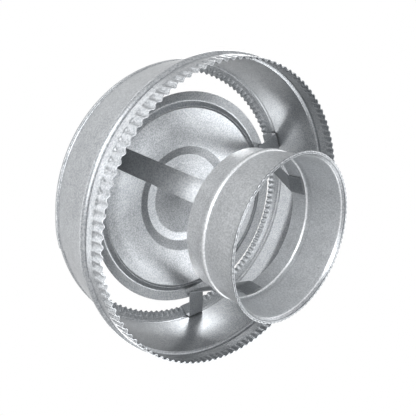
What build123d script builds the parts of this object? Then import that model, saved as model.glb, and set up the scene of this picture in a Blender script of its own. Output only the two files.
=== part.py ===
from build123d import *
import os
from math import cos, degrees, hypot, pi, radians, sin, sqrt

# Anti-downdraft chimney cap of galvanised sheet: a wind band and a lid held round a collar by three bent straps.
# It stands on its collar's mouth, in millimetres, with +Z up the flue.
os.makedirs("parts", exist_ok=True)

# Sheet and strap stock
sheet = 0.6
strap_thickness = 1.2
strap_width = 22.5
clearance = 0.1
lap_width = 12.0
bead_width = 8.0
bead_crest = 3.2

# Collar: a rolled tube that takes a 6 inch flue pipe in its mouth
collar_bore = 153.0
collar_height = 66.0
collar_bead_height = 43.7
collar_bead_rise = 1.8
mouth_diameter = 163.4
hem_width = 3.0
hem_height = 3.2
hem_edge_inset = 0.8
flare_height = 7.5
knurl_count = 90
knurl_depth = 0.7
collar_seam_angle = 89

# Wind band: a rolled ring with a bead and a crimped edge at each end
band_diameter = 327.0
lower_edge_height = 63.2
lower_edge_diameter = 319.2
lower_flange_height = 25.3
lower_bead_rise = 3.2
lower_crimp_length = 12.0
bead_spacing = 70.8
upper_bead_rise = 1.5
upper_flange_height = 13.7
upper_edge_diameter = 312.2
upper_crimp_length = 5.5
crimp_count = 120
crimp_depth = 1.4
crimp_joggle = 0.15
band_seam_angle = -130

# Lid: a stamped disc whose rim rests on the brackets
lid_diameter = 262.0
lid_seat_below_bead = 4.5
lid_rim_width = 10.2
lid_rim_height = 6.5
lid_groove_width = 6.2
lid_groove_depth = 3.0
lid_shoulder_width = 11.8
lid_shoulder_height = 6.3
lid_shoulder_radius = 25.0
boss_diameter = 136.0
boss_height = 15.6
boss_step_width = 11.0
boss_step_height = 5.3
boss_land_width = 11.0
boss_land_height = 1.0
boss_cone_height = 11.8
boss_tip_radius = 0.8

# Brackets: bent straps, set by hand about a third of a turn apart
bracket_front_angle = -90
bracket_right_angle = 32
bracket_left_angle = 147
tab_length = 17.5
leg_start_gap = 0.6
fold_inside_lid = 6.6
bend_radius = 1.8
weld_diameter = 5.0

# Worked out from the above
collar_radius = collar_bore / 2 + sheet
mouth_radius = mouth_diameter / 2
mouth_bore_radius = mouth_radius - hem_width
band_radius = band_diameter / 2
half_bead = bead_width / 2
lower_bead_height = lower_edge_height + lower_flange_height
upper_bead_height = lower_bead_height + bead_spacing
upper_edge_height = upper_bead_height + upper_flange_height
lid_seat_height = upper_bead_height - lid_seat_below_bead
lower_edge_radius = lower_edge_diameter / 2
upper_edge_radius = upper_edge_diameter / 2
half_strap = strap_width / 2
bracket_angles = {
    "bracket_front": bracket_front_angle,
    "bracket_right": bracket_right_angle,
    "bracket_left": bracket_left_angle,
}

# Each flange of the band, from its crimped edge to its bead
lower_flange = ((lower_edge_radius, lower_edge_height), (band_radius, lower_bead_height - half_bead))
upper_flange = ((upper_edge_radius, upper_edge_height), (band_radius, upper_bead_height + half_bead))


def bead(radius, height, rise):
    """Corners of a bead swaged out of a straight wall, from below to above."""
    return [
        (radius, height - half_bead),
        (radius + rise, height - bead_crest / 2),
        (radius + rise, height + bead_crest / 2),
        (radius, height + half_bead),
    ]


def between(start, end, share):
    """The point that lies a share of the way along a straight line."""
    return tuple(a + (b - a) * share for a, b in zip(start, end))


def wall_across(edge, root):
    """How thick a sloping sheet measures when it is cut level."""
    rise = abs(root[1] - edge[1])
    return sheet * hypot(root[0] - edge[0], rise) / rise


def ring_points(radius, height, count, depth):
    """Corners round a ring, of which every other one stands in by a depth."""
    corners = []
    for i in range(count):
        reach = radius - depth if i % 2 else radius
        angle = 2 * pi * i / count
        corners.append((reach * cos(angle), reach * sin(angle), height))
    return corners


def crimped_ring(edge, root, crimp_length):
    """A ring of sheet pleated along its edge: flat facets that fold deeper from a plain rim to the edge."""
    start = between(edge, root, crimp_length / abs(root[1] - edge[1]))
    facets = []
    rims = []
    for inset in (0, wall_across(edge, root)):
        plain = ring_points(start[0] + crimp_joggle - inset, start[1], crimp_count, 0)
        pleats = ring_points(edge[0] - inset, edge[1], 2 * crimp_count, crimp_depth)
        for i in range(crimp_count):
            near, far = plain[i], plain[(i + 1) % crimp_count]
            crest, hollow = pleats[2 * i], pleats[2 * i + 1]
            next_crest = pleats[(2 * i + 2) % (2 * crimp_count)]
            for corners in ((near, crest, hollow), (near, hollow, far), (far, hollow, next_crest)):
                facets.append(Face(Wire.make_polygon(corners)))
        rims.append((Wire.make_polygon(plain), Wire.make_polygon(pleats)))
    for outside, inside in zip(*rims):
        facets.append(Face(outside, [inside]))
    return Solid(Shell(facets))


def upright(angle):
    """A plane through the flue's axis: x outward at this angle, y up."""
    turn = radians(angle)
    return Plane(origin=(0, 0, 0), x_dir=(cos(turn), sin(turn), 0), z_dir=(sin(turn), -cos(turn), 0))


def flat_inside(radius):
    """How far out a flat strap reaches inside a round wall before its long edges meet it."""
    return sqrt(radius**2 - half_strap**2) - clearance


collar_wall = bead(collar_radius, collar_bead_height, collar_bead_rise) + [(collar_radius, collar_height)]

with BuildPart() as collar:
    for level, inset in ((0, hem_edge_inset), (hem_height / 2, 0), (hem_height, hem_edge_inset)):
        with BuildSketch(Plane.XY.offset(level)):
            with BuildLine():
                Polyline(ring_points(mouth_radius - inset, 0, 2 * knurl_count, knurl_depth), close=True)
            make_face()
    loft(ruled=True)
    Hole(radius=mouth_bore_radius + sheet / 2)
    with BuildSketch(Plane.XZ):
        with BuildLine():
            mouth_outside = mouth_bore_radius + sheet
            Polyline([(mouth_outside, 0), (mouth_outside, hem_height / 2), (collar_radius, flare_height)] + collar_wall)
            offset(amount=sheet, side=Side.LEFT, kind=Kind.INTERSECTION)
        make_face()
    revolve(axis=Axis.Z)
    with BuildSketch(upright(collar_seam_angle)):
        with BuildLine():
            Polyline([(collar_radius, flare_height)] + collar_wall)
            offset(amount=sheet, side=Side.RIGHT, kind=Kind.INTERSECTION)
        make_face()
    revolve(axis=Axis.Z, revolution_arc=degrees(lap_width / collar_radius))
collar.part.label = "collar"
export_step(collar.part, "parts/collar.step")

lower_bead = bead(band_radius, lower_bead_height, lower_bead_rise)
upper_bead = bead(band_radius, upper_bead_height, upper_bead_rise)

lower_crimps = crimped_ring(*lower_flange, lower_crimp_length)
upper_crimps = crimped_ring(*upper_flange, upper_crimp_length)
crimps_start = lower_edge_height + lower_crimp_length
crimps_end = upper_edge_height - upper_crimp_length

with BuildPart() as wind_band:
    with BuildSketch(Plane.XZ):
        with BuildLine():
            Polyline([lower_flange[0]] + lower_bead + upper_bead + [upper_flange[0]])
            offset(amount=sheet, side=Side.LEFT, kind=Kind.INTERSECTION)
        make_face()
        with Locations((band_radius, (crimps_start + crimps_end) / 2)):
            Rectangle(band_radius, crimps_end - crimps_start, mode=Mode.INTERSECT)
    revolve(axis=Axis.Z)
    add([lower_crimps, upper_crimps])
    with BuildSketch(upright(band_seam_angle)):
        with BuildLine():
            Polyline(lower_bead + upper_bead)
            offset(amount=sheet, side=Side.RIGHT, kind=Kind.INTERSECTION)
        make_face()
    revolve(axis=Axis.Z, revolution_arc=degrees(lap_width / band_radius))
wind_band.part.label = "wind_band"
export_step(wind_band.part, "parts/wind_band.step")

# The lid's underside, from its rim to its tip
lid_radius = lid_diameter / 2
rim_fold = (lid_radius - lid_rim_width, lid_seat_height + lid_rim_height)
groove = (rim_fold[0] - lid_groove_width, rim_fold[1] - lid_groove_depth)
shoulder = (groove[0] - lid_shoulder_width, groove[1] + lid_shoulder_height)
boss_foot = (boss_diameter / 2, lid_seat_height + boss_height)
boss_step = (boss_foot[0] - boss_step_width, boss_foot[1] + boss_step_height)
boss_land = (boss_step[0] - boss_land_width, boss_step[1] + boss_land_height)
boss_tip = (boss_tip_radius, boss_land[1] + boss_cone_height)

with BuildPart() as lid:
    with BuildSketch(Plane.XZ):
        with BuildLine():
            Polyline((lid_radius, lid_seat_height), rim_fold, groove)
            FilletPolyline(groove, shoulder, boss_foot, radius=lid_shoulder_radius)
            Polyline(boss_foot, boss_step, boss_land, boss_tip, (0, boss_tip[1]))
            offset(amount=sheet, side=Side.RIGHT, kind=Kind.INTERSECTION)
        make_face()
    revolve(axis=Axis.Z)
lid.part.label = "lid"
export_step(lid.part, "parts/lid.step")

# A bracket's outer face, from its tab in the collar to its foot on the band's upper flange
tab_face = flat_inside(collar_bore / 2)
wall_face = flat_inside(band_radius - sheet)
foot_reach = flat_inside(upper_edge_radius - crimp_depth - wall_across(*upper_flange))
leg_height = lid_seat_height - clearance - strap_thickness
tab_end = collar_height - tab_length
bracket_path = [
    (tab_face, tab_end),
    (tab_face, collar_height + leg_start_gap),
    (lid_radius - fold_inside_lid, leg_height),
    (wall_face, leg_height),
    (wall_face, upper_bead_height + half_bead - strap_thickness),
    (foot_reach, upper_edge_height - clearance),
]
outer_bend_radius = bend_radius + strap_thickness
bracket_bend_radii = [bend_radius, bend_radius, outer_bend_radius, outer_bend_radius]
weld_height = collar_height - tab_length / 2

for bracket_name, bracket_angle in bracket_angles.items():
    with BuildPart() as bracket:
        with BuildSketch(upright(bracket_angle)):
            with BuildLine():
                FilletPolyline(bracket_path, radius=bracket_bend_radii)
                offset(amount=strap_thickness, side=Side.LEFT)
            make_face()
        extrude(amount=half_strap, both=True)
        outward = upright(bracket_angle).x_dir
        with BuildSketch(Plane(origin=outward * tab_face + Vector(0, 0, weld_height), z_dir=outward)):
            Circle(weld_diameter / 2)
        extrude(amount=collar_bore / 2 - tab_face - clearance)
    bracket.part.label = bracket_name
    export_step(bracket.part, f"parts/{bracket_name}.step")
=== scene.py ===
import bpy
import bmesh
import numpy as np
from math import radians
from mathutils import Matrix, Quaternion, Vector


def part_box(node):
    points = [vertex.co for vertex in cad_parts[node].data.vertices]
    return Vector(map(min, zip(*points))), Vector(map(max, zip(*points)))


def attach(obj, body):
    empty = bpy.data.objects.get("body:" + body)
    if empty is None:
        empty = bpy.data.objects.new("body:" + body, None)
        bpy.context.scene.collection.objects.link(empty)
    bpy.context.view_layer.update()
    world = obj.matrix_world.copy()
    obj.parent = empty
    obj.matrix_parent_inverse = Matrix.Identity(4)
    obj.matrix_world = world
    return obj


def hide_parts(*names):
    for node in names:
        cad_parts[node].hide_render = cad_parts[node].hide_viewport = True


# Looks, light and camera of a galvanised chimney cap. Every piece is bent sheet or strap, worked out from its section.
# Lengths are in metres, with +Z up the flue, and angles run round the flue from +X.
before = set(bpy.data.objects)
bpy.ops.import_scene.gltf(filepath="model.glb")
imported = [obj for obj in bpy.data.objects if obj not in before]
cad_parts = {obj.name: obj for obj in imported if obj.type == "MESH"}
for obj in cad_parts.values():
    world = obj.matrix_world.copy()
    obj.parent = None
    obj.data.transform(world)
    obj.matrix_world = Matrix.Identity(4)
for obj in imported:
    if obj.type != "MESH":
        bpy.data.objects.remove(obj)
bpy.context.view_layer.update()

MM = 0.001
CLEARANCE = 0.1 * MM
SHEET = 0.6 * MM
SHEET_FOLD_SOFTNESS = 0.4 * MM
BEAD_HALF_WIDTH = 4.0 * MM

# Lap seams: how far a sheet runs on under itself, how far it takes to come down, and the play between its two ends
LAP = 12.0 * MM
LAP_RAMP = 26.0 * MM
LAP_PLAY = 0.3 * MM

# Wind band
BAND_LOW, BAND_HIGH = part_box("wind_band")
LOWER_BEAD_RISE = 3.2 * MM
UPPER_BEAD_RISE = 1.5 * MM
BAND_RADIUS = BAND_HIGH.x - LOWER_BEAD_RISE
LOWER_BEAD = 88.5 * MM
UPPER_BEAD = 159.3 * MM
LOWER_EDGE_RADIUS = 159.6 * MM
UPPER_EDGE_RADIUS = 156.1 * MM
BAND_SEAM = radians(-130)

# Its crimps: how deep they are at the edge, the share of that at their start, and how wide and square their hollows are
LOWER_CRIMP_LENGTH = 12.5 * MM
UPPER_CRIMP_LENGTH = 6.0 * MM
CRIMP_COUNT = 120
CRIMP_DEPTH = 2.3 * MM
CRIMP_START = 2.5 * MM
CRIMP_START_SHARE = 0.55
HOLLOW_SHARPNESS = 3.0
HOLLOW_SHIFT = 0.3

# Collar
COLLAR_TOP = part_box("collar")[1].z
MOUTH_RADIUS = 81.7 * MM
COLLAR_RADIUS = 77.1 * MM
COLLAR_BEAD = 43.7 * MM
COLLAR_BEAD_RISE = 1.8 * MM
FLARE_START = 1.5 * MM
FLARE_HEIGHT = 4.2 * MM
FLARE_FADE = 2.0 * MM
HEM_WIDTH = 3.0 * MM
# Below this height the collar keeps the plain sheet's zinc, without the collar's painted light
PLAIN_ZINC_HEM_HEIGHT = 3.4 * MM
ROPE_RADIUS = 1.0 * MM
LIP_RADIUS = 0.65 * MM
KNURL_COUNT = 90
KNURL_DEPTH = 0.45 * MM
COLLAR_SEAM = radians(89)

# Lid: radius and height of each fold of its underside, from the rim to the tip, and how soft each fold is
LID_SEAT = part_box("lid")[0].z
LID_FOLDS = np.array([
    (131.0, 0.0),
    (120.8, 6.5),
    (114.6, 3.5),
    (113.9, 6.6),
    (102.8, 9.8),
    (68.0, 15.6),
    (57.0, 20.9),
    (46.0, 21.9),
    (0.0, 33.7),
]) * MM
LID_SOFTNESS = np.array([0.5, 0.2, 0.2, 2.4, 0.3, 0.3, 0.3]) * MM
LID_RADIUS = LID_FOLDS[0, 0]

# Brackets: a strap's outer face lies at these reaches from the flue's axis
BRACKET_ANGLES = {"bracket_front": radians(-90), "bracket_right": radians(32), "bracket_left": radians(147)}
TAB_REACH = 75.57 * MM
LEG_END_REACH = 124.4 * MM
WALL_REACH = 162.41 * MM
FOOT_REACH = 153.43 * MM
LEG_START_GAP = 0.6 * MM
STRAP_HALF_WIDTH = 11.25 * MM
STRAP_THICKNESS = 1.2 * MM
STRAP_EDGE_ROUNDNESS = 0.25 * MM
BEND_RADIUS = 1.8 * MM
OUTER_BEND_RADIUS = BEND_RADIUS + STRAP_THICKNESS

# How finely the surfaces are drawn: points across a form, round the flue or round a small ring
BEAD_POINTS = 13
CRIMP_ROWS = 6
CRIMP_LENGTH_ROWS = 5
PLAIN_ROWS = 4
FLARE_ROWS = 12
COLLAR_WALL_ROWS = 5
LID_ROWS = 28
FOLD_OFFSETS = np.array([-4, -2.5, -1.5, -0.7, 0, 0.7, 1.5, 2.5, 4])
POINTS_PER_CRIMP = 8
POINTS_PER_KNURL = 8
COLLAR_POINTS = 480
LID_POINTS = 360
RING_POINTS = 16
BEND_POINTS = 6
STRAP_EDGE_POINTS = 4
SHARP_ANGLE = radians(35)
SAME_POINT = 0.0001 * MM

# Zinc: the size of its mottle and clouds in noise cells per metre, and the share that each has in the grey
MOTTLE_SCALE = 620.0
CLOUD_SCALE = 70.0
MOTTLE_SHARE = 0.8
CLOUD_SHARE = 0.2
DARKEST_NOISE = 0.37
LIGHTEST_NOISE = 0.63
DULLEST_NOISE = 0.35
ROUGHEST_NOISE = 0.65
ZINC_ROUGHNESS = 0.36
ROUGHNESS_PLAY = 0.02
GRAIN_STRENGTH = 0.05
GRAIN_HEIGHT = 0.05 * MM

# Studio: each soft box has an azimuth and an elevation in degrees, a width and a height in metres, and watts
FLOOR_HALF_WIDTH = 3.0
FLOOR_GREY = 0.85
ROOM_LIGHT = 0.5
ROOM_SEEN = 1.0
CAP_MIDDLE = 90 * MM
LAMP_DISTANCE = 1.2
SOFT_BOXES = {
    "key_box": (20, 40, 0.4, 0.4, 5),
    "second_box": (150, 37, 0.4, 0.4, 2.8),
    "crest_box_right": (-70, 40, 1.1, 0.12, 3),
    "crest_box_left": (-126, 40, 1.1, 0.12, 3),
    "front_box": (-86, -16, 0.4, 0.4, 4.5),
    "low_box": (-90, -46, 0.9, 0.9, 14),
    "lid_box": (98, -52, 0.6, 0.6, 7),
    "right_box": (45, -14, 0.9, 0.9, 5),
    "left_box": (135, -14, 0.9, 0.9, 5),
}

# Camera, fitted to the rings in the photograph
CAMERA_PLACE = Vector((-33.27, -270.11, -171.17)) * MM
CAMERA_VIEW = Vector((0.07817, 0.66543, 0.74235))
CAMERA_ROLL = radians(-68.99)
CAMERA_LENS = 29.386
CAMERA_SENSOR = 36.0
CAMERA_NEAREST = 10 * MM


def round_bead(z, middle, rise):
    """How far a swaged bead stands out at each height: rise * sqrt(1 - (offset / half width)^2), and 0 beyond it."""
    share = np.clip((z - middle) / BEAD_HALF_WIDTH, -1, 1)
    return rise * np.sqrt(1 - share**2)


def over_bead(middle):
    """Heights across a bead, closer at its feet: the middle less half width * cos of equal steps of half a turn."""
    return middle - BEAD_HALF_WIDTH * np.cos(np.linspace(0, np.pi, BEAD_POINTS))


def smooth_step(share):
    """0 below 0, 1 above 1, and three squares less two cubes of the share between."""
    share = np.clip(share, 0, 1)
    return share * share * (3 - 2 * share)


def folded_line(x, corners, softness):
    """Height along a line folded at each inner corner. It starts on the first run, and each fold adds its change of
    slope as a ramp: change * s * ln(1 + exp((x - fold) / s)), where s is the fold's softness."""
    corner_x, corner_y = corners[:, 0], corners[:, 1]
    slopes = np.diff(corner_y) / np.diff(corner_x)
    ramps = softness * np.logaddexp(0, (x[:, None] - corner_x[1:-1]) / softness)
    return corner_y[0] + slopes[0] * (x - corner_x[0]) + ramps @ np.diff(slopes)


def rounded_path(corners, radii, points):
    """Corners joined by straight runs, each inner corner cut back by radius * tan(half its turn) and rounded by a
    quadratic curve from one cut to the other: (1-u)^2 start + 2u(1-u) corner + u^2 end."""
    corners = np.asarray(corners, float)
    runs = np.diff(corners, axis=0)
    ways = runs / np.linalg.norm(runs, axis=1, keepdims=True)
    turns = np.arccos(np.clip((ways[:-1] * ways[1:]).sum(axis=1), -1, 1))
    cut = (np.asarray(radii) * np.tan(turns / 2))[:, None]
    inner = corners[1:-1]
    u = np.linspace(0, 1, points)[None, :, None]
    start, end = (inner - ways[:-1] * cut)[:, None], (inner + ways[1:] * cut)[:, None]
    arcs = (1 - u) ** 2 * start + 2 * u * (1 - u) * inner[:, None] + u**2 * end
    return np.concatenate([corners[:1], arcs.reshape(-1, 2), corners[-1:]])


def cells(index, wrap_rows, wrap_columns):
    """The faces between neighbouring points of a grid of point numbers."""
    rows = np.concatenate([index, index[:1]]) if wrap_rows else index
    grid = np.concatenate([rows, rows[:, :1]], axis=1) if wrap_columns else rows
    return np.stack([grid[:-1, :-1], grid[:-1, 1:], grid[1:, 1:], grid[1:, :-1]], axis=-1).reshape(-1, 4)


def end_caps(index):
    """Ladders of faces that close the first and last section of an open path, each from one half to the other."""
    half = index.shape[1] // 2
    ladders = [np.stack([section[:half], section[::-1][:half]]) for section in (index[0], index[-1])]
    return np.concatenate([cells(ladders[0], False, False)[:, ::-1], cells(ladders[1], False, False)])


def skin(name, parts):
    """One mesh of closed surfaces from grids of points (path, section). Each part is (points, path wraps, section
    wraps). The winding of each is turned outward by the sign of its volume, the sum of a . (b x c) over its faces."""
    points, faces = [], []
    first = 0
    for grid, wrap_path, wrap_section in parts:
        index = np.arange(grid.shape[0] * grid.shape[1]).reshape(grid.shape[:2])
        quads = cells(index, wrap_path, wrap_section)
        if not wrap_path and wrap_section:
            quads = np.concatenate([quads, end_caps(index)])
        flat = grid.reshape(-1, 3)
        a, b, c, d = (flat[quads[:, k]] for k in range(4))
        volume = (a * np.cross(b, c)).sum() + (a * np.cross(c, d)).sum()
        points.append(flat)
        faces.append((quads if volume > 0 else quads[:, ::-1]) + first)
        first += len(flat)
    mesh = bpy.data.meshes.new(name)
    mesh.from_pydata(np.concatenate(points), [], np.concatenate(faces))
    solid = bmesh.new()
    solid.from_mesh(mesh)
    bmesh.ops.remove_doubles(solid, verts=solid.verts, dist=SAME_POINT)
    solid.to_mesh(mesh)
    solid.free()
    mesh.polygons.foreach_set("use_smooth", np.ones(len(mesh.polygons), bool))
    mesh.set_sharp_from_angle(angle=SHARP_ANGLE)
    piece = bpy.data.objects.new(name, mesh)
    bpy.context.scene.collection.objects.link(piece)
    return piece


def turned(radius, height, angle):
    """Points round the flue's axis: (radius cos angle, radius sin angle, height)."""
    return np.stack([radius * np.cos(angle), radius * np.sin(angle), height + 0 * angle + 0 * radius], axis=-1)


def with_thickness(outside, thickness):
    """Closed sections of a sheet: its outer points, then its inner ones in reverse, each set in by the thickness along
    the surface's normal, the cross product of its two directions."""
    across = np.cross(np.gradient(outside, axis=0), np.gradient(outside, axis=1))
    normal = across / np.linalg.norm(across, axis=-1, keepdims=True)
    return np.concatenate([outside, (outside - thickness * normal)[:, ::-1]], axis=1)


def rolled_angles(seam, radius, points):
    """Angles along a rolled sheet from its outer end, once round and on under itself, and how far it is lifted there:
    by a sheet and its play over the lap, then falling to nothing along a smooth step."""
    run = np.linspace(0, 2 * np.pi + LAP / radius, points)
    lift = (SHEET + LAP_PLAY) * (1 - smooth_step((run * radius - LAP) / LAP_RAMP))
    return seam + run, lift


def make_wind_band():
    """The band's radius at each height is a folded line with two round beads, lifted over the lap. Past the start of
    its crimps it is pressed in CRIMP_COUNT times a turn by depth / (1 + exp(sharpness * (cos(count * angle) + shift))),
    where the depth steps in softly at the start and then grows evenly to the edge."""
    lower_crimps = BAND_LOW.z + LOWER_CRIMP_LENGTH
    upper_crimps = BAND_HIGH.z - UPPER_CRIMP_LENGTH
    z = np.concatenate([
        np.linspace(BAND_LOW.z, lower_crimps - CRIMP_START, CRIMP_LENGTH_ROWS),
        np.linspace(lower_crimps - CRIMP_START, lower_crimps, CRIMP_ROWS)[1:],
        np.linspace(lower_crimps, LOWER_BEAD - BEAD_HALF_WIDTH, PLAIN_ROWS)[1:],
        over_bead(LOWER_BEAD)[1:],
        np.linspace(LOWER_BEAD + BEAD_HALF_WIDTH, UPPER_BEAD - BEAD_HALF_WIDTH, PLAIN_ROWS)[1:],
        over_bead(UPPER_BEAD)[1:],
        np.linspace(UPPER_BEAD + BEAD_HALF_WIDTH, upper_crimps, PLAIN_ROWS)[1:],
        np.linspace(upper_crimps, BAND_HIGH.z, CRIMP_ROWS)[1:],
    ])
    corners = np.array([
        (BAND_LOW.z, LOWER_EDGE_RADIUS),
        (LOWER_BEAD - BEAD_HALF_WIDTH, BAND_RADIUS),
        (UPPER_BEAD + BEAD_HALF_WIDTH, BAND_RADIUS),
        (BAND_HIGH.z, UPPER_EDGE_RADIUS),
    ])
    radius = folded_line(z, corners, SHEET_FOLD_SOFTNESS)
    radius += round_bead(z, LOWER_BEAD, LOWER_BEAD_RISE) + round_bead(z, UPPER_BEAD, UPPER_BEAD_RISE)
    angle, lift = rolled_angles(BAND_SEAM, BAND_RADIUS, CRIMP_COUNT * POINTS_PER_CRIMP)
    into_lower = BAND_LOW.z + LOWER_CRIMP_LENGTH - z
    into_upper = z - BAND_HIGH.z + UPPER_CRIMP_LENGTH
    started = smooth_step(np.maximum(into_lower, into_upper) / CRIMP_START)
    gone = np.maximum(into_lower / LOWER_CRIMP_LENGTH, into_upper / UPPER_CRIMP_LENGTH)
    depth = CRIMP_DEPTH * started * (CRIMP_START_SHARE + (1 - CRIMP_START_SHARE) * gone)
    hollow = 1 / (1 + np.exp(HOLLOW_SHARPNESS * (np.cos(CRIMP_COUNT * angle) + HOLLOW_SHIFT)))
    reach = radius + lift[:, None] - depth * hollow[:, None]
    outside = turned(reach, z[None, :], angle[:, None])
    return skin("rolled_band", [(with_thickness(outside, SHEET), False, True)])


def make_collar():
    """The collar's radius at each height is a folded line with a round bead, lifted over the lap. Its hem is a ring
    whose own radius swings KNURL_COUNT times a turn along a slanted line, like a rope, beside a plain round lip."""
    z = np.concatenate([
        np.linspace(LIP_RADIUS, FLARE_HEIGHT + FLARE_FADE, FLARE_ROWS),
        np.linspace(FLARE_HEIGHT + FLARE_FADE, COLLAR_BEAD - BEAD_HALF_WIDTH, COLLAR_WALL_ROWS)[1:],
        over_bead(COLLAR_BEAD)[1:],
        np.linspace(COLLAR_BEAD + BEAD_HALF_WIDTH, COLLAR_TOP, PLAIN_ROWS)[1:],
    ])
    lip_middle = MOUTH_RADIUS - HEM_WIDTH + LIP_RADIUS
    mouth_inside = lip_middle + SHEET / 2
    corners = np.array([
        (0, mouth_inside),
        (FLARE_START, mouth_inside),
        (FLARE_HEIGHT, COLLAR_RADIUS),
        (COLLAR_TOP, COLLAR_RADIUS),
    ])
    radius = folded_line(z, corners, SHEET_FOLD_SOFTNESS)
    radius += round_bead(z, COLLAR_BEAD, COLLAR_BEAD_RISE)
    angle, lift = rolled_angles(COLLAR_SEAM, COLLAR_RADIUS, COLLAR_POINTS)
    outside = turned(radius + lift[:, None], z[None, :], angle[:, None])

    around = np.linspace(0, 2 * np.pi, KNURL_COUNT * POINTS_PER_KNURL, endpoint=False)[:, None]
    about = np.linspace(0, 2 * np.pi, RING_POINTS, endpoint=False)[None, :]
    ring = ROPE_RADIUS - KNURL_DEPTH * (0.5 - 0.5 * np.cos(KNURL_COUNT * around + about))
    rope = turned(MOUTH_RADIUS - ROPE_RADIUS + ring * np.cos(about), ROPE_RADIUS + ring * np.sin(about), around)
    lip = turned(lip_middle + LIP_RADIUS * np.cos(about), LIP_RADIUS + LIP_RADIUS * np.sin(about), around)
    return skin("rolled_collar", [(with_thickness(outside, SHEET), False, True), (rope, True, True), (lip, True, True)])


def make_lid():
    """The lid's underside is a folded line turned round the axis, and its top is the same line one sheet higher along
    the line's normal. Both run to the axis, where they close. Points gather at each fold, as close as it is sharp."""
    folds = LID_FOLDS[::-1] + np.array([0, LID_SEAT])
    softness = LID_SOFTNESS[::-1]
    gathered = folds[1:-1, :1] + softness[:, None] * FOLD_OFFSETS
    runs = np.linspace(0, LID_RADIUS, LID_ROWS)
    radius = np.unique(np.clip(np.concatenate([runs, gathered.ravel()]), 0, LID_RADIUS))
    height = folded_line(radius, folds, softness)
    slope = np.gradient(height, radius)
    lean = np.sqrt(1 + slope**2)
    top_radius = np.clip(radius - SHEET * slope / lean, 0, None)
    top_height = height + SHEET / lean
    top_radius[0] = 0
    section_radius = np.concatenate([radius, top_radius[::-1]])
    section_height = np.concatenate([height, top_height[::-1]])
    angle = np.linspace(0, 2 * np.pi, LID_POINTS, endpoint=False)[:, None]
    return skin("stamped_lid", [(turned(section_radius[None, :], section_height[None, :], angle), True, False)])


def make_bracket(name, angle):
    """A strap: a rounded rectangle carried along a bent path in the upright plane at this angle. A section point lies
    at path + thickness part * path's normal + width part * the plane's normal."""
    low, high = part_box(name)
    leg_height = LID_SEAT - CLEARANCE - STRAP_THICKNESS
    path = rounded_path(
        [
            (TAB_REACH, low.z),
            (TAB_REACH, COLLAR_TOP + LEG_START_GAP),
            (LEG_END_REACH, leg_height),
            (WALL_REACH, leg_height),
            (WALL_REACH, UPPER_BEAD + BEAD_HALF_WIDTH - STRAP_THICKNESS),
            (FOOT_REACH, high.z),
        ],
        [BEND_RADIUS, BEND_RADIUS, OUTER_BEND_RADIUS, OUTER_BEND_RADIUS],
        BEND_POINTS,
    )
    way = np.gradient(path, axis=0)
    way /= np.linalg.norm(way, axis=1, keepdims=True)
    inward = np.stack([-way[:, 1], way[:, 0]], axis=1)
    half = STRAP_THICKNESS / 2
    rectangle = [
        (0, -half),
        (STRAP_HALF_WIDTH, -half),
        (STRAP_HALF_WIDTH, half),
        (-STRAP_HALF_WIDTH, half),
        (-STRAP_HALF_WIDTH, -half),
        (0, -half),
    ]
    loop = rounded_path(rectangle, [STRAP_EDGE_ROUNDNESS] * 4, STRAP_EDGE_POINTS)[:-1]
    across, through = loop[:, 0], loop[:, 1] + half
    outward = np.array([np.cos(angle), np.sin(angle)])
    side = np.array([-np.sin(angle), np.cos(angle)])
    reach = path[:, None, 0] + through * inward[:, None, 0]
    height = path[:, None, 1] + through * inward[:, None, 1]
    level = reach[..., None] * outward + across[None, :, None] * side
    grid = np.concatenate([level, height[..., None]], axis=-1)
    return skin(name.replace("bracket", "strap"), [(grid, False, True)])


def node(tree, kind, **values):
    """A shader node with the given input values and settings."""
    made = tree.nodes.new(kind)
    for key, value in values.items():
        if key in made.inputs:
            made.inputs[key].default_value = value
        else:
            setattr(made, key, value)
    return made


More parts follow.
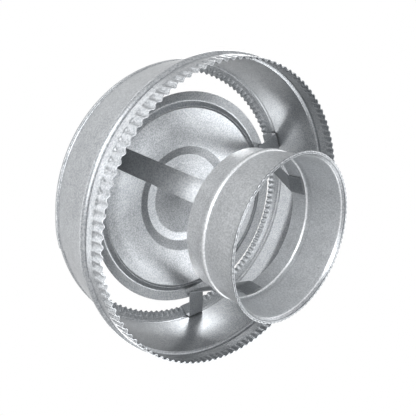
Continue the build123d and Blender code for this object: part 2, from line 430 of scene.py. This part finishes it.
def galvanised(name, dark, light, metallic=0.8):
    """Zinc coat: a fine mottle between two greys, softly clouded, with uneven roughness and a slight grain."""
    material = bpy.data.materials.new(name)
    material.use_nodes = True
    tree = material.node_tree
    tree.nodes.clear()
    place = node(tree, "ShaderNodeTexCoord")
    mottle = node(tree, "ShaderNodeTexNoise", Scale=MOTTLE_SCALE, Detail=2.0, Roughness=0.6)
    cloud = node(tree, "ShaderNodeTexNoise", Scale=CLOUD_SCALE, Detail=3.0, Roughness=0.6)
    blend = node(tree, "ShaderNodeMath", operation="MULTIPLY_ADD")
    blend.inputs[1].default_value = MOTTLE_SHARE
    for texture in (mottle, cloud):
        tree.links.new(place.outputs["Object"], texture.inputs["Vector"])
    share = node(tree, "ShaderNodeMath", operation="MULTIPLY")
    share.inputs[1].default_value = CLOUD_SHARE
    tree.links.new(cloud.outputs["Fac"], share.inputs[0])
    tree.links.new(mottle.outputs["Fac"], blend.inputs[0])
    tree.links.new(share.outputs[0], blend.inputs[2])
    greys = node(tree, "ShaderNodeValToRGB")
    greys.color_ramp.elements[0].position = DARKEST_NOISE
    greys.color_ramp.elements[0].color = (*dark, 1)
    greys.color_ramp.elements[1].position = LIGHTEST_NOISE
    greys.color_ramp.elements[1].color = (*light, 1)
    tree.links.new(blend.outputs[0], greys.inputs["Fac"])
    uneven = node(tree, "ShaderNodeMapRange")
    uneven.inputs["From Min"].default_value = DULLEST_NOISE
    uneven.inputs["From Max"].default_value = ROUGHEST_NOISE
    uneven.inputs["To Min"].default_value = ZINC_ROUGHNESS - ROUGHNESS_PLAY
    uneven.inputs["To Max"].default_value = ZINC_ROUGHNESS + ROUGHNESS_PLAY
    tree.links.new(blend.outputs[0], uneven.inputs["Value"])
    grain = node(tree, "ShaderNodeBump", Strength=GRAIN_STRENGTH, Distance=GRAIN_HEIGHT)
    tree.links.new(mottle.outputs["Fac"], grain.inputs["Height"])
    surface = node(tree, "ShaderNodeBsdfPrincipled", Metallic=metallic)
    tree.links.new(greys.outputs["Color"], surface.inputs["Base Color"])
    tree.links.new(uneven.outputs["Result"], surface.inputs["Roughness"])
    tree.links.new(grain.outputs["Normal"], surface.inputs["Normal"])
    out = node(tree, "ShaderNodeOutputMaterial")
    tree.links.new(surface.outputs[0], out.inputs["Surface"])
    return material


def make_floor():
    """A pale floor under the cap. Seen from below it is clear, and it casts no shadow, so the cap's mouth stays lit.
    The metal shows the white room in its place."""
    mesh = bpy.data.meshes.new("floor")
    half = FLOOR_HALF_WIDTH
    mesh.from_pydata([(-half, -half, 0), (half, -half, 0), (half, half, 0), (-half, half, 0)], [], [(0, 1, 2, 3)])
    floor = bpy.data.objects.new("floor", mesh)
    bpy.context.scene.collection.objects.link(floor)
    material = bpy.data.materials.new("pale_floor")
    material.use_nodes = True
    tree = material.node_tree
    tree.nodes.clear()
    side = node(tree, "ShaderNodeNewGeometry")
    paint = node(tree, "ShaderNodeBsdfDiffuse", Color=(FLOOR_GREY, FLOOR_GREY, FLOOR_GREY, 1))
    clear = node(tree, "ShaderNodeBsdfTransparent")
    choose = node(tree, "ShaderNodeMixShader")
    out = node(tree, "ShaderNodeOutputMaterial")
    tree.links.new(side.outputs["Backfacing"], choose.inputs["Fac"])
    tree.links.new(paint.outputs[0], choose.inputs[1])
    tree.links.new(clear.outputs[0], choose.inputs[2])
    tree.links.new(choose.outputs[0], out.inputs["Surface"])
    mesh.materials.append(material)
    floor.visible_shadow = False
    floor.visible_glossy = False


def make_room():
    """A room that is white to the camera, in the metal and through glass, and dimmer as a lamp."""
    world = bpy.data.worlds.new("white_room")
    bpy.context.scene.world = world
    world.use_nodes = True
    tree = world.node_tree
    tree.nodes.clear()
    ray = node(tree, "ShaderNodeLightPath")
    seen = node(tree, "ShaderNodeMath", operation="MAXIMUM")
    seen_through = node(tree, "ShaderNodeMath", operation="MAXIMUM")
    strength = node(tree, "ShaderNodeMapRange")
    strength.inputs["To Min"].default_value = ROOM_LIGHT
    strength.inputs["To Max"].default_value = ROOM_SEEN
    air = node(tree, "ShaderNodeBackground", Color=(1, 1, 1, 1))
    out = node(tree, "ShaderNodeOutputWorld")
    tree.links.new(ray.outputs["Is Camera Ray"], seen.inputs[0])
    tree.links.new(ray.outputs["Is Glossy Ray"], seen.inputs[1])
    tree.links.new(seen.outputs[0], seen_through.inputs[0])
    tree.links.new(ray.outputs["Is Transmission Ray"], seen_through.inputs[1])
    tree.links.new(seen_through.outputs[0], strength.inputs["Value"])
    tree.links.new(strength.outputs["Result"], air.inputs["Strength"])
    tree.links.new(air.outputs[0], out.inputs["Surface"])


def soft_box(name, azimuth, elevation, width, height, power):
    """A lamp that faces the cap's middle from a direction given in degrees."""
    lamp = bpy.data.lights.new(name, "AREA")
    lamp.shape = "RECTANGLE"
    lamp.size = width
    lamp.size_y = height
    lamp.energy = power
    box = bpy.data.objects.new(name, lamp)
    turn, rise = radians(azimuth), radians(elevation)
    back = Vector((np.cos(rise) * np.cos(turn), np.cos(rise) * np.sin(turn), np.sin(rise)))
    box.location = Vector((0, 0, CAP_MIDDLE)) + back * LAMP_DISTANCE
    box.rotation_mode = "QUATERNION"
    box.rotation_quaternion = back.to_track_quat("Z", "Y")
    bpy.context.scene.collection.objects.link(box)


def set_camera():
    """The photograph's view: from below the collar's mouth, rolled so that the flue's axis lies across the picture."""
    camera = bpy.data.cameras.new("camera")
    camera.sensor_width = CAMERA_SENSOR
    camera.lens = CAMERA_LENS
    seat = bpy.data.objects.new("camera", camera)
    seat.location = CAMERA_PLACE
    seat.rotation_mode = "QUATERNION"
    seat.rotation_quaternion = CAMERA_VIEW.to_track_quat("-Z", "Y") @ Quaternion((0, 0, 1), CAMERA_ROLL)
    camera.clip_start = CAMERA_NEAREST
    bpy.context.scene.collection.objects.link(seat)
    bpy.context.scene.camera = seat


sheet_finish = galvanised("galvanised_sheet", (0.20, 0.212, 0.225), (0.37, 0.383, 0.397))
# Painted light: the collar is the same zinc as the sheet, painted lighter to stand in for the light and reflections it
# lacks
collar_painted_lighter_finish = galvanised("galvanised_collar_painted_lighter", (0.49, 0.505, 0.52), (0.70, 0.715, 0.73), metallic=0.58)
strap_finish = galvanised("galvanised_strap", (0.25, 0.262, 0.275), (0.39, 0.403, 0.417))

for make, node_name, finish in (
    (make_wind_band, "wind_band", sheet_finish),
    (make_collar, "collar", collar_painted_lighter_finish),
    (make_lid, "lid", sheet_finish),
):
    piece = make()
    piece.data.materials.append(finish)
    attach(piece, "root")
    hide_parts(node_name)
    if node_name == "collar":
        # The collar's painted light stops at the knurled hem, which keeps the plain sheet's zinc
        piece.data.materials.append(sheet_finish)
        for face in piece.data.polygons:
            face.material_index = int(face.center.z < PLAIN_ZINC_HEM_HEIGHT)

for node_name, angle in BRACKET_ANGLES.items():
    piece = make_bracket(node_name, angle)
    piece.data.materials.append(strap_finish)
    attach(piece, "root")
    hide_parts(node_name)

make_floor()
make_room()
for name, settings in SOFT_BOXES.items():
    soft_box(name, *settings)
set_camera()
bpy.context.scene.view_settings.view_transform = "Standard"
